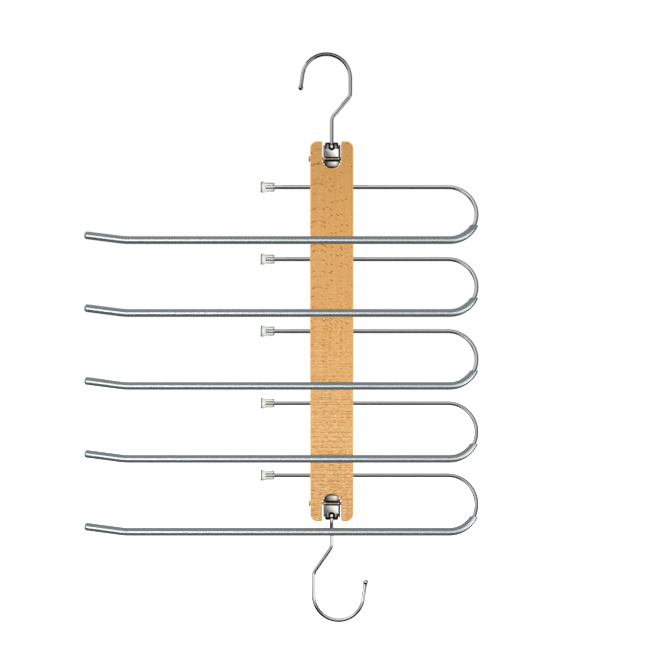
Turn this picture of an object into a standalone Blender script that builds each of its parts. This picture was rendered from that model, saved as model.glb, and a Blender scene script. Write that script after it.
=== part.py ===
# Space saving trouser hanger: a beech spine, five sliding wire arms in anti-slip sleeves,
# and a hook at each end that swivels in a pressed bracket and folds on a cross pin.
# Metres, +Z up, the front faces -Y. The origin is the inside of the top hook's crown, where a rail lies.

import bmesh
import bpy
from math import acos, asin, atan2, ceil, copysign, cos, hypot, pi, radians, sin, tan
from mathutils import Vector

# Clearances
SEAT_GAP = 0.0003  # between a piece and what it rests on or turns in
CUT_OVERRUN = 0.002  # how far a cutter reaches past the face that it cuts

# Beech spine
SPINE_LENGTH = 0.3805
SPINE_WIDTH = 0.0431
SPINE_THICKNESS = 0.018
SPINE_CORNER_RADIUS = 0.007
SPINE_EDGE_ROUND = 0.0012
SLOT_WIDTH = 0.0188
SLOT_DEPTH = 0.0274
SLOT_MOUTH_RADIUS = 0.0016
PIN_FROM_END = 0.0165

# Wire arms, measured from the spine's centre line
ARM_COUNT = 5
ARM_END_MARGIN = 0.045
ROD_DIAMETER = 0.004
LIMB_SPACING = 0.056
UPPER_LIMB_REACH = 0.0667
BEND_REACH = 0.1171
KINK_REACH = 0.2062
KINK_RUN = 0.0405
KINK_ANGLE = radians(7.5)
KINK_RADIUS = 0.06

# Anti-slip sleeves
SLEEVE_DIAMETER = 0.0078
SLEEVE_START_ANGLE = radians(24)  # how far round below the bend's outermost point the sleeve starts
SLEEVE_TIP_WALL = 0.003
SLEEVE_TIP_ROUND = 0.0022
SLEEVE_LIP_ROUND = 0.0005

# End caps
CAP_LENGTH = 0.0138
CAP_FLANGE_DIAMETER = 0.0113
CAP_FLANGE_LENGTH = 0.0048
CAP_FLANGE_ROUND = 0.0014
CAP_BARREL_DIAMETER = 0.0096
CAP_MOUTH_DIAMETER = 0.0085
CAP_END_WALL = 0.0045

# Hinge pins
PIN_DIAMETER = 0.003
PIN_HEAD_DIAMETER = 0.0056
PIN_HEAD_HEIGHT = 0.0013
PIN_HEAD_ROUND = 0.0005
PIN_END_RECESS = 0.0002
PIN_END_CHAMFER = 0.0004

# Pressed brackets, measured from the pin's axis
SHEET = 0.0012
BRACKET_TOP = 0.0166
BRACKET_DEPTH = 0.0088
STRAP_WIDTH = 0.0129
STRAP_CORNER_RADIUS = 0.0026
FLAP_EDGE = 0.00145
TAIL_EDGE = 0.0036
TAIL_REACH = 0.0104
TAIL_WIDTH = 0.0144
EAR_SPAN = 0.0155
EAR_TOP = 0.0138
EAR_CORNER_RADIUS = 0.0025
EAR_BEND_RADIUS = 0.0018
EAR_SETBACK = 0.0004
KEYHOLE_RISE = 0.011
KEYHOLE_DIAMETER = 0.0066

# Hook wire
HOOK_WIRE = 0.0038
HOOK_HEAD_DIAMETER = 0.0056
HOOK_TIP_DIAMETER = 0.0052
HOOK_BEND_RADIUS = 0.009
HOOK_FLARE_ANGLE = radians(8)

# Top hook
TOP_ARC_RADIUS = 0.0242
TOP_ARC_OFFSET = 0.0054  # the crown's centre stands this far to the side of the shank
TOP_SHANK = 0.029
TOP_CRANK_RISE = 0.0221
TOP_LIMB = 0.018
TOP_TIP_RUN = 0.0131

# Bottom hook
BOTTOM_ARC_RADIUS = 0.0251
BOTTOM_ARC_OFFSET = 0.0069
BOTTOM_SHANK = 0.0313
BOTTOM_CRANK_RISE = 0.0263
BOTTOM_LIMB = 0.0227
BOTTOM_TIP_RUN = 0.0171

# Facets
BEND_STEP = radians(11)
WIRE_SIDES = 12
CAP_SIDES = 14
BORE_SIDES = 16
CORNER_SIDES = 5
ARCH_SIDES = 10
ROUND_END_SIDES = 12
SMALL_BEND_SIDES = 4
ROUNDED_EDGE_STEPS = 3
BALL_STEPS = 6
BALL_POLE_ANGLE = radians(74)  # where the ball's flat pole lies above its waist
SHADING_ANGLE = radians(35)
ROUNDED_EDGE_ANGLE = radians(60)

# Worked out from the sizes above
HOOK_HEAD_RISE = BRACKET_TOP - SHEET - SEAT_GAP - HOOK_HEAD_DIAMETER / 2
CROWN_CENTRE_Z = HOOK_WIRE / 2 - TOP_ARC_RADIUS
HEAD_Z = CROWN_CENTRE_Z - TOP_LIMB - TOP_CRANK_RISE - TOP_SHANK
TOP_PIN_Z = HEAD_Z - HOOK_HEAD_RISE
SPINE_X = TOP_ARC_OFFSET
SPINE_TOP_Z = TOP_PIN_Z + PIN_FROM_END
BOTTOM_PIN_Z = SPINE_TOP_Z - SPINE_LENGTH + PIN_FROM_END
ARM_PITCH = (SPINE_LENGTH - 2 * ARM_END_MARGIN) / (ARM_COUNT - 1)
ARM_REST_TILT = asin((SPINE_THICKNESS / 2 + SEAT_GAP + SLEEVE_DIAMETER / 2) / LIMB_SPACING)


def remove_all_objects():
    for thing in list(bpy.data.objects):
        bpy.data.objects.remove(thing, do_unlink=True)


def make_material(name, colour, roughness, metallic=0.0, transmission=0.0):
    material = bpy.data.materials.new(name)
    material.use_nodes = True
    shader = material.node_tree.nodes["Principled BSDF"]
    shader.inputs["Base Color"].default_value = (*colour, 1.0)
    shader.inputs["Roughness"].default_value = roughness
    shader.inputs["Metallic"].default_value = metallic
    shader.inputs["Transmission Weight"].default_value = transmission
    return material


def add_empty(name, location, parent=None, tilt=0.0):
    empty = bpy.data.objects.new(name, None)
    bpy.context.scene.collection.objects.link(empty)
    empty.location = location
    empty.rotation_euler.x = tilt
    empty.parent = parent
    return empty


def add_object(name, bm, material, parent):
    bmesh.ops.recalc_face_normals(bm, faces=bm.faces)
    mesh = bpy.data.meshes.new(name)
    bm.to_mesh(mesh)
    bm.free()
    mesh.shade_smooth()
    mesh.set_sharp_from_angle(angle=SHADING_ANGLE)
    thing = bpy.data.objects.new(name, mesh)
    bpy.context.scene.collection.objects.link(thing)
    if material:
        mesh.materials.append(material)
    thing.parent = parent
    return thing


def add_boolean(thing, cutter, operation):
    cutter.hide_render = True
    cutter.display_type = "WIRE"
    modifier = thing.modifiers.new(cutter.name, "BOOLEAN")
    modifier.operation = operation
    modifier.object = cutter
    modifier.solver = "EXACT"


# Points (u, v) on an arc, from one angle to another, both ends included.
def arc(u, v, radius, start, end, sides=CORNER_SIDES):
    angles = [start + (end - start) * i / sides for i in range(sides + 1)]
    return [(u + radius * cos(a), v + radius * sin(a)) for a in angles]


# Fills an outline and extrudes it along X, Y or Z between two places.
def add_prism(bm, outline, axis, low, high):
    place = {
        "X": lambda u, v, w: (w, u, v),
        "Y": lambda u, v, w: (u, w, v),
        "Z": lambda u, v, w: (u, v, w),
    }[axis]
    face = bm.faces.new([bm.verts.new(place(u, v, low)) for u, v in outline])
    extruded = bmesh.ops.extrude_face_region(bm, geom=[face])["geom"]
    moved = [item for item in extruded if isinstance(item, bmesh.types.BMVert)]
    bmesh.ops.translate(bm, verts=moved, vec=place(0, 0, high - low))


# Stations (x, z, heading) along a wire bent in the XZ plane.
# Each move is a straight run, then a bend by an angle (positive is to the left) at a radius.
def bend_wire(x, z, heading, moves):
    stations = [(x, z, heading)]
    for run, bend, radius in moves:
        if run:
            x += run * cos(heading)
            z += run * sin(heading)
            stations.append((x, z, heading))
        if bend:
            side = copysign(radius, bend)
            centre_x = x - side * sin(heading)
            centre_z = z + side * cos(heading)
            steps = ceil(abs(bend) / BEND_STEP)
            for i in range(1, steps + 1):
                h = heading + bend * i / steps
                stations.append((centre_x + side * sin(h), centre_z - side * cos(h), h))
            heading += bend
            x, z, heading = stations[-1]
    return stations


# Moves a station along its own heading.
def shifted(station, distance):
    x, z, heading = station
    return (x + distance * cos(heading), z + distance * sin(heading), heading)


# Skins rings of (station, radius) into one closed body with flat ends.
def add_rings(bm, rings, sides):
    loops = []
    for (x, z, heading), radius in rings:
        across = Vector((-sin(heading), 0, cos(heading)))
        loop = []
        for i in range(sides):
            turn = 2 * pi * (i + 1 / 2) / sides
            offset = radius * (cos(turn) * across + sin(turn) * Vector((0, 1, 0)))
            loop.append(bm.verts.new(Vector((x, 0, z)) + offset))
        loops.append(loop)
    for one, two in zip(loops, loops[1:]):
        for i in range(sides):
            j = (i + 1) % sides
            bm.faces.new((one[i], one[j], two[j], two[i]))
    bm.faces.new(loops[0])
    bm.faces.new(loops[-1])


# The radius to draw a faceted bore with, so that its flats keep the true radius.
def bore_radius(radius, sides):
    return radius / cos(pi / sides)


# Rings of a rounded edge between a flat end and a cylinder, from the end inwards.
def rounded_end(station, radius, fillet):
    rings = []
    for i in range(ROUNDED_EDGE_STEPS + 1):
        a = pi / 2 * i / ROUNDED_EDGE_STEPS
        rings.append((shifted(station, fillet * (1 - sin(a))), radius - fillet + fillet * sin(pi / 2 - a)))
    return rings[::-1]


# Stations and radii of a ball on a wire's end, from its pole to where the wire leaves it.
def ball_rings(centre, radius, wire_radius):
    neck = acos(wire_radius / radius)
    turn = neck + BALL_POLE_ANGLE
    angles = [turn * i / BALL_STEPS - BALL_POLE_ANGLE for i in range(BALL_STEPS + 1)]
    return [(shifted(centre, radius * sin(a)), radius * cos(a)) for a in angles]


# The front view of the spine: rounded outer corners and a U slot let into each end.
def spine_outline():
    half = SPINE_WIDTH / 2
    slot = SLOT_WIDTH / 2
    mouth = slot + SLOT_MOUTH_RADIUS
    corner = SPINE_CORNER_RADIUS
    top = SPINE_LENGTH / 2
    slot_centre = top - SLOT_DEPTH + slot
    one_end = arc(half - corner, top - corner, corner, 0, pi / 2)
    one_end += arc(mouth, top - SLOT_MOUTH_RADIUS, SLOT_MOUTH_RADIUS, pi / 2, pi, SMALL_BEND_SIDES)
    one_end += arc(0, slot_centre, slot, 0, -pi, BORE_SIDES)
    one_end += arc(-mouth, top - SLOT_MOUTH_RADIUS, SLOT_MOUTH_RADIUS, 0, pi / 2, SMALL_BEND_SIDES)
    one_end += arc(corner - half, top - corner, corner, pi / 2, pi)
    return one_end + [(-x, -z) for x, z in one_end]


def arm_heights():
    return [SPINE_LENGTH / 2 - ARM_END_MARGIN - ARM_PITCH * i for i in range(ARM_COUNT)]


def build_spine(material, parent):
    centre = (0, 0, SPINE_TOP_Z - SPINE_LENGTH / 2 - TOP_PIN_Z)
    bm = bmesh.new()
    add_prism(bm, spine_outline(), "Y", -SPINE_THICKNESS / 2, SPINE_THICKNESS / 2)
    spine = add_object("wooden_spine", bm, material, parent)
    spine.location = centre
    rounding = spine.modifiers.new("rounded_edges", "BEVEL")
    rounding.width = SPINE_EDGE_ROUND
    rounding.segments = 2
    rounding.limit_method = "ANGLE"
    rounding.angle_limit = ROUNDED_EDGE_ANGLE

    cutters = bmesh.new()
    reach = SPINE_WIDTH / 2 + CUT_OVERRUN
    pin_height = SPINE_LENGTH / 2 - PIN_FROM_END
    rod_bores = [(z, ROD_DIAMETER / 2 + SEAT_GAP) for z in arm_heights()]
    pin_bores = [(z, PIN_DIAMETER / 2 + SEAT_GAP) for z in (pin_height, -pin_height)]
    for z, radius in rod_bores + pin_bores:
        bore = bore_radius(radius, BORE_SIDES)
        add_rings(cutters, [((-reach, z, 0), bore), ((reach, z, 0), bore)], BORE_SIDES)
    cutter = add_object("spine_bores", cutters, None, parent)
    cutter.location = centre
    add_boolean(spine, cutter, "DIFFERENCE")


def build_pin(name, material, parent):
    half = SPINE_WIDTH / 2
    shaft = PIN_DIAMETER / 2
    head = (-half - SEAT_GAP - PIN_HEAD_HEIGHT, 0, 0)
    seat = (-half - SEAT_GAP, 0, 0)
    end = (half - PIN_END_RECESS, 0, 0)
    rings = rounded_end(head, PIN_HEAD_DIAMETER / 2, PIN_HEAD_ROUND)
    rings += [(seat, PIN_HEAD_DIAMETER / 2), (seat, shaft)]
    rings += [(shifted(end, -PIN_END_CHAMFER), shaft), (end, shaft - PIN_END_CHAMFER)]
    bm = bmesh.new()
    add_rings(bm, rings, WIRE_SIDES)
    return add_object(name, bm, material, parent)


# The sheet's side view: up the front flap, over the arch, down the back web, and round under the pin.
def band_outline():
    half = BRACKET_DEPTH / 2
    inner = half - SHEET
    arch = BRACKET_TOP - half
    heel = half - TAIL_REACH
    outside = [(-half, FLAP_EDGE)] + arc(0, arch, half, pi, 0, ARCH_SIDES)
    outside += arc(0, heel, half, 0, -pi, ARCH_SIDES) + [(-half, -TAIL_EDGE)]
    inside = [(-inner, -TAIL_EDGE)] + arc(0, heel, inner, -pi, 0, ARCH_SIDES)
    inside += arc(0, arch, inner, 0, pi, ARCH_SIDES) + [(-inner, FLAP_EDGE)]
    return outside + inside


# The sheet's front view: a strap with round shoulders, widening to a tail with a full round end.
def blank_outline():
    strap = STRAP_WIDTH / 2
    tail = TAIL_WIDTH / 2
    shoulder = strap - STRAP_CORNER_RADIUS
    shoulder_height = BRACKET_TOP - STRAP_CORNER_RADIUS
    outline = arc(shoulder, shoulder_height, STRAP_CORNER_RADIUS, 0, pi / 2)
    outline += arc(-shoulder, shoulder_height, STRAP_CORNER_RADIUS, pi / 2, pi)
    outline += [(-strap, 0)]
    outline += arc(0, tail - TAIL_REACH, tail, -pi, 0, ROUND_END_SIDES)
    outline += [(strap, 0)]
    return outline


# The section of the web and its two ears, bent forward from the web's sides.
def channel_outline():
    back = BRACKET_DEPTH / 2
    front = EAR_SETBACK - back
    side = EAR_SPAN / 2
    inner_bend = EAR_BEND_RADIUS - SHEET
    bend_x = side - EAR_BEND_RADIUS
    bend_y = back - EAR_BEND_RADIUS
    outline = [(side, front)] + arc(bend_x, bend_y, EAR_BEND_RADIUS, 0, pi / 2, SMALL_BEND_SIDES)
    outline += arc(-bend_x, bend_y, EAR_BEND_RADIUS, pi / 2, pi, SMALL_BEND_SIDES) + [(-side, front)]
    outline += [(SHEET - side, front)] + arc(-bend_x, bend_y, inner_bend, pi, pi / 2, SMALL_BEND_SIDES)
    outline += arc(bend_x, bend_y, inner_bend, pi / 2, 0, SMALL_BEND_SIDES) + [(side - SHEET, front)]
    return outline


# The side view of an ear: a full round end about the pin and a rounded upper corner.
def ear_outline():
    back = BRACKET_DEPTH / 2
    outline = arc(0, 0, back, -pi, 0, ROUND_END_SIDES)
    outline += [(back, EAR_TOP)]
    outline += arc(EAR_CORNER_RADIUS - back, EAR_TOP - EAR_CORNER_RADIUS, EAR_CORNER_RADIUS, pi / 2, pi)
    return outline


# The keyhole lets the hook's ball head in from the front.
def add_keyhole(bm):
    front = -BRACKET_DEPTH / 2 - CUT_OVERRUN
    outline = arc(0, KEYHOLE_RISE, KEYHOLE_DIAMETER / 2, 0, 2 * pi, BORE_SIDES)
    add_prism(bm, outline[:-1], "Y", front, 0)


# The keyhole's slot runs up over the arch, and ends round behind the shank.
def add_shank_slot(bm):
    front = -BRACKET_DEPTH / 2 - CUT_OVERRUN
    slot = HOOK_WIRE / 2 + SEAT_GAP
    outline = [(slot, front)] + arc(0, 0, slot, 0, pi, BORE_SIDES // 2) + [(-slot, front)]
    add_prism(bm, outline, "Z", KEYHOLE_RISE, BRACKET_TOP + CUT_OVERRUN)


def build_bracket(name, material, parent):
    half_span = EAR_SPAN / 2 + CUT_OVERRUN
    depth = BRACKET_DEPTH / 2 + CUT_OVERRUN

    band = bmesh.new()
    add_prism(band, band_outline(), "X", -TAIL_WIDTH, TAIL_WIDTH)
    bracket = add_object(name, band, material, parent)

    blank = bmesh.new()
    add_prism(blank, blank_outline(), "Y", -depth, depth)
    add_boolean(bracket, add_object(name + "_blank", blank, None, parent), "INTERSECT")

    channel = bmesh.new()
    add_prism(channel, channel_outline(), "Z", -BRACKET_DEPTH, EAR_TOP + CUT_OVERRUN)
    ears = add_object(name + "_ears", channel, None, parent)
    ear_side = bmesh.new()
    add_prism(ear_side, ear_outline(), "X", -half_span, half_span)
    add_boolean(ears, add_object(name + "_ear_side", ear_side, None, parent), "INTERSECT")
    add_boolean(bracket, ears, "UNION")

    for ending, add_cutter in (("_keyhole", add_keyhole), ("_shank_slot", add_shank_slot)):
        cutter = bmesh.new()
        add_cutter(cutter)
        add_boolean(bracket, add_object(name + ending, cutter, None, parent), "DIFFERENCE")

    bore = bore_radius(PIN_DIAMETER / 2 + SEAT_GAP, BORE_SIDES)
    pin_bore = bmesh.new()
    add_rings(pin_bore, [((-half_span, 0, 0), bore), ((half_span, 0, 0), bore)], BORE_SIDES)
    add_boolean(bracket, add_object(name + "_pin_bore", pin_bore, None, parent), "DIFFERENCE")
    return bracket


# A hook drawn from its ball head up: shank, crank out to the limb, crown, and a flared tip with a ball.
def build_hook(name, sizes, material, parent):
    arc_radius, arc_offset, shank, crank_rise, limb, tip_run = sizes
    wire = HOOK_WIRE / 2
    crank_out = arc_radius - arc_offset
    crank_angle = atan2(crank_out, crank_rise)
    crank_length = hypot(crank_out, crank_rise)
    bend_length = HOOK_BEND_RADIUS * tan(crank_angle / 2)
    moves = [
        (shank - bend_length, -crank_angle, HOOK_BEND_RADIUS),
        (crank_length - 2 * bend_length, crank_angle, HOOK_BEND_RADIUS),
        (limb - bend_length, pi - HOOK_FLARE_ANGLE, arc_radius),
        (tip_run, 0, 0),
    ]
    stations = bend_wire(0, 0, pi / 2, moves)
    head = ball_rings(stations[0], HOOK_HEAD_DIAMETER / 2, wire)
    x, z, heading = stations[-1]
    tip = ball_rings((x, z, heading + pi), HOOK_TIP_DIAMETER / 2, wire)
    tip = [((tip_x, tip_z, heading), radius) for (tip_x, tip_z, _), radius in reversed(tip)]
    rings = head + [(station, wire) for station in stations[1:-1]] + tip
    bm = bmesh.new()
    add_rings(bm, rings, WIRE_SIDES)
    return add_object(name, bm, material, parent)


# What the rod and its sleeve share: the rest of the bend, the lower limb and the raised tip.
def sleeved_moves(tip_run):
    bend = pi / 2 - SLEEVE_START_ANGLE
    kink_length = KINK_RADIUS * tan(KINK_ANGLE / 2)
    lower_limb = BEND_REACH + KINK_REACH - kink_length
    return [
        (0, -bend, LIMB_SPACING / 2),
        (lower_limb, -KINK_ANGLE, KINK_RADIUS),
        (tip_run - kink_length, 0, 0),
    ]


def build_rod(name, material, parent):
    tip_run = KINK_RUN - SLEEVE_TIP_WALL - SEAT_GAP
    moves = [(UPPER_LIMB_REACH + BEND_REACH, -pi / 2 - SLEEVE_START_ANGLE, LIMB_SPACING / 2)]
    stations = bend_wire(-UPPER_LIMB_REACH, 0, 0, moves + sleeved_moves(tip_run))
    bm = bmesh.new()
    add_rings(bm, [(station, ROD_DIAMETER / 2) for station in stations], WIRE_SIDES)
    return add_object(name, bm, material, parent)


def build_sleeve(name, material, parent):
    radius = SLEEVE_DIAMETER / 2
    bend_radius = LIMB_SPACING / 2
    start_x = BEND_REACH + bend_radius * cos(SLEEVE_START_ANGLE)
    start_z = -bend_radius - bend_radius * sin(SLEEVE_START_ANGLE)
    heading = -pi / 2 - SLEEVE_START_ANGLE
    outer = bend_wire(start_x, start_z, heading, sleeved_moves(KINK_RUN))
    inner = bend_wire(start_x, start_z, heading, sleeved_moves(KINK_RUN - SLEEVE_TIP_WALL))
    bore = bore_radius(ROD_DIAMETER / 2 + SEAT_GAP, WIRE_SIDES)
    x, z, end_heading = outer[-1]
    tip = rounded_end((x, z, end_heading + pi), radius, SLEEVE_TIP_ROUND)
    tip = [((tip_x, tip_z, end_heading), size) for (tip_x, tip_z, _), size in reversed(tip)]
    lip = [(outer[0], radius - SLEEVE_LIP_ROUND), (shifted(outer[0], SLEEVE_LIP_ROUND), radius)]
    rings = [(station, bore) for station in reversed(inner)]
    rings += lip + [(station, radius) for station in outer[1:-1]] + tip
    bm = bmesh.new()
    add_rings(bm, rings, WIRE_SIDES)
    return add_object(name, bm, material, parent)


def build_end_cap(name, material, parent):
    rod_end = (-UPPER_LIMB_REACH, 0, 0)
    end = shifted(rod_end, -SEAT_GAP - CAP_END_WALL)
    mouth = shifted(end, CAP_LENGTH)
    bore = bore_radius(ROD_DIAMETER / 2 + SEAT_GAP, CAP_SIDES)
    step = (CAP_FLANGE_DIAMETER - CAP_BARREL_DIAMETER) / 2
    rings = rounded_end(end, CAP_FLANGE_DIAMETER / 2, CAP_FLANGE_ROUND)
    rings += [
        (shifted(end, CAP_FLANGE_LENGTH - step), CAP_FLANGE_DIAMETER / 2),
        (shifted(end, CAP_FLANGE_LENGTH), CAP_BARREL_DIAMETER / 2),
        (mouth, CAP_MOUTH_DIAMETER / 2),
        (mouth, bore),
        (shifted(rod_end, -SEAT_GAP), bore),
    ]
    bm = bmesh.new()
    add_rings(bm, rings, CAP_SIDES)
    return add_object(name, bm, material, parent)


def build_hanger():
    beech = make_material("beech", (0.66, 0.36, 0.13), 0.45)
    chrome = make_material("chromed_steel_wire", (0.62, 0.62, 0.6), 0.12, metallic=1.0)
    steel = make_material("pressed_steel", (0.5, 0.5, 0.5), 0.25, metallic=1.0)
    slate_pvc = make_material("slate_pvc", (0.19, 0.24, 0.27), 0.3)
    clear_pvc = make_material("clear_pvc", (0.85, 0.86, 0.85), 0.15, transmission=0.8)

    hook_head = add_empty("top_hook_swivel_axis", (SPINE_X, 0, HEAD_Z))
    top_sizes = (TOP_ARC_RADIUS, TOP_ARC_OFFSET, TOP_SHANK, TOP_CRANK_RISE, TOP_LIMB, TOP_TIP_RUN)
    build_hook("top_hook", top_sizes, chrome, hook_head)
    bracket_pin = add_empty("top_bracket_pin_axis", (0, 0, TOP_PIN_Z - HEAD_Z), hook_head)
    build_bracket("top_bracket", steel, bracket_pin)

    top_fold = add_empty("top_hook_fold_axis", (SPINE_X, 0, TOP_PIN_Z))
    build_spine(beech, top_fold)
    build_pin("top_hinge_pin", steel, top_fold)
    bottom_pin = build_pin("bottom_hinge_pin", steel, top_fold)
    bottom_pin.location.z = BOTTOM_PIN_Z - TOP_PIN_Z

    spine_centre_z = SPINE_TOP_Z - SPINE_LENGTH / 2 - TOP_PIN_Z
    for number, height in enumerate(arm_heights(), 1):
        swing = add_empty(f"arm_{number}_axis", (0, 0, spine_centre_z + height), top_fold, -ARM_REST_TILT)
        build_rod(f"arm_{number}_rod", chrome, swing)
        build_sleeve(f"arm_{number}_sleeve", slate_pvc, swing)
        build_end_cap(f"arm_{number}_end_cap", clear_pvc, swing)

    bottom_fold = add_empty("bottom_hook_fold_axis", (0, 0, BOTTOM_PIN_Z - TOP_PIN_Z), top_fold)
    bottom_fold.rotation_euler.y = pi
    build_bracket("bottom_bracket", steel, bottom_fold)
    bottom_sizes = (BOTTOM_ARC_RADIUS, BOTTOM_ARC_OFFSET, BOTTOM_SHANK, BOTTOM_CRANK_RISE, BOTTOM_LIMB,
                    BOTTOM_TIP_RUN)
    bottom_hook = build_hook("bottom_hook", bottom_sizes, chrome, bottom_fold)
    bottom_hook.location.z = HOOK_HEAD_RISE


remove_all_objects()
build_hanger()
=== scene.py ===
# Looks of a space saving hanger: a beech spine, chromed wire hooks and arms, slate PVC sleeves,
# clear PVC end caps and two pressed hinge brackets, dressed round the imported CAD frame.
from functools import partial
from math import acos, asin, atan2, ceil, copysign, cos, hypot, pi, radians, sin, tan

import bmesh
import bpy
from mathutils import Matrix, Vector


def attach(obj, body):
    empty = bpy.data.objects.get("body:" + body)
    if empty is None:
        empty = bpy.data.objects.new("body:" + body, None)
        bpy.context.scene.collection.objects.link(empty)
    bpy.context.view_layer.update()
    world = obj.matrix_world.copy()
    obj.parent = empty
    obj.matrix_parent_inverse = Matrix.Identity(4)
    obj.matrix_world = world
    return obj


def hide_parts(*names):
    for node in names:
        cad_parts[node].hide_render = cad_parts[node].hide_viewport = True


mm = 0.001
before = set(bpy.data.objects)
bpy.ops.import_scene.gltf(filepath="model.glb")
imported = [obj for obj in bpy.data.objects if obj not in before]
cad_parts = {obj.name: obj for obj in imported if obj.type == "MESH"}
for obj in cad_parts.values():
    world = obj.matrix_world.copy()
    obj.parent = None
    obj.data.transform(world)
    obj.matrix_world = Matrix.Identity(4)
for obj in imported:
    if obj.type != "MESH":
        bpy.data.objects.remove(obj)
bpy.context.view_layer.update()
scene = bpy.context.scene
print("hanger: frame loaded with", len(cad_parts), "nodes")

# what several pieces share
fit = {
    "seatGap": 0.3 * mm,  # left between pieces that sit against one another
    "spineX": 5.4 * mm,
    "topHeadZ": -91.4 * mm,  # the middle of the top hook's ball head
    "topPinZ": -103.7 * mm,
    "bottomPinZ": -451.2 * mm,
    "wireStep": radians(4),  # how finely bends are divided
}
spineCentreZ = (fit["topPinZ"] + fit["bottomPinZ"]) / 2
hair = 0.01 * mm  # keeps two rings of a path apart where its wall turns a right angle
noiseSpan = (0.3, 0.7)  # where nearly all of a noise texture's values lie


def srgb(code):  # hex colour to linear
    channels = [int(code[i:i + 2], 16) / 255 for i in (1, 3, 5)]
    return (*[c / 12.92 if c <= 0.04045 else ((c + 0.055) / 1.055) ** 2.4 for c in channels], 1.0)


def newObject(name, data):
    thing = bpy.data.objects.new(name, data)
    scene.collection.objects.link(thing)
    return thing


def placeAt(z, turn=0.0, axis="Y"):  # on the spine's centre line at a height
    return Matrix.Translation((fit["spineX"], 0, z)) @ Matrix.Rotation(turn, 4, axis)


chiefSetting = {"Math": "operation", "VectorMath": "operation", "Mix": "data_type",
                "MapRange": "interpolation_type", "TexNoise": "noise_dimensions",
                "TexVoronoi": "voronoi_dimensions"}


# fills a node's inputs, from a dictionary or from a list for those in use, in their order;
# each takes a value, a socket, or a node for the first output that it has in use
def plug(node, inputs):
    if not isinstance(inputs, dict):
        inputs = dict(zip([i for i, socket in enumerate(node.inputs) if socket.enabled], inputs))
    for key, value in inputs.items():
        if isinstance(value, bpy.types.Node):
            value = next(socket for socket in value.outputs if socket.enabled)
        if isinstance(value, bpy.types.NodeSocket):
            node.id_data.links.new(value, node.inputs[key])
        else:
            node.inputs[key].default_value = value


# a kind without Node in its name is a shader node's; chief is the setting that such a node mostly needs
def addNode(tree, kind, inputs=(), chief=None, **settings):
    new = tree.nodes.new(kind if "Node" in kind else "ShaderNode" + kind)
    if chief:
        settings[chiefSetting[kind]] = chief
    for name, value in settings.items():
        setattr(new, name, value)
    plug(new, inputs)
    return new


def newMaterial(name, values):  # with what adds a node to it, and its shader
    material = bpy.data.materials.new(name)
    material.use_nodes = True
    shader = material.node_tree.nodes["Principled BSDF"]
    plug(shader, values)
    return material, partial(addNode, material.node_tree), shader


def drawnLines(add, place, width, length, detail=2.0):  # uneven lines along z
    cells = add("Mapping", {"Vector": place, "Scale": (1 / width, 1 / width, 1 / length)})
    return add("TexNoise", {"Vector": cells, "Scale": 1.0, "Detail": detail})


def setStops(ramp, stops):
    while len(ramp.elements) < len(stops):
        ramp.elements.new(1.0)
    for element, (place, colour) in zip(ramp.elements, stops):
        element.position, element.color = place, colour


# a curve object; every spline is a list of (station, radius) knots, and a station is (x, z, heading) in
# the plane that the place matrix sets in the room
def wireCurve(name, splines, place):
    data = bpy.data.curves.new(name, "CURVE")
    data.dimensions = "3D"
    for knots in splines:
        spline = data.splines.new("POLY")
        spline.points.add(len(knots) - 1)
        for point, (station, radius) in zip(spline.points, knots):
            point.co = (*(place @ Vector((station[0], 0, station[1]))), 1.0)
            point.radius = radius
    return newObject(name, data)


def plainMesh(thing, name):  # the evaluated object as a plain mesh object at the origin
    depsgraph = bpy.context.evaluated_depsgraph_get()
    mesh = bpy.data.meshes.new_from_object(
        thing.evaluated_get(depsgraph), preserve_all_data_layers=True, depsgraph=depsgraph)
    bpy.data.objects.remove(thing, do_unlink=True)
    return newObject(name, mesh)


def oneFinish(piece, finish):  # a single material slot, used by every face
    piece.data.materials.clear()
    piece.data.materials.append(finish)
    piece.data.polygons.foreach_set("material_index", [0] * len(piece.data.polygons))
    return piece


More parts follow.
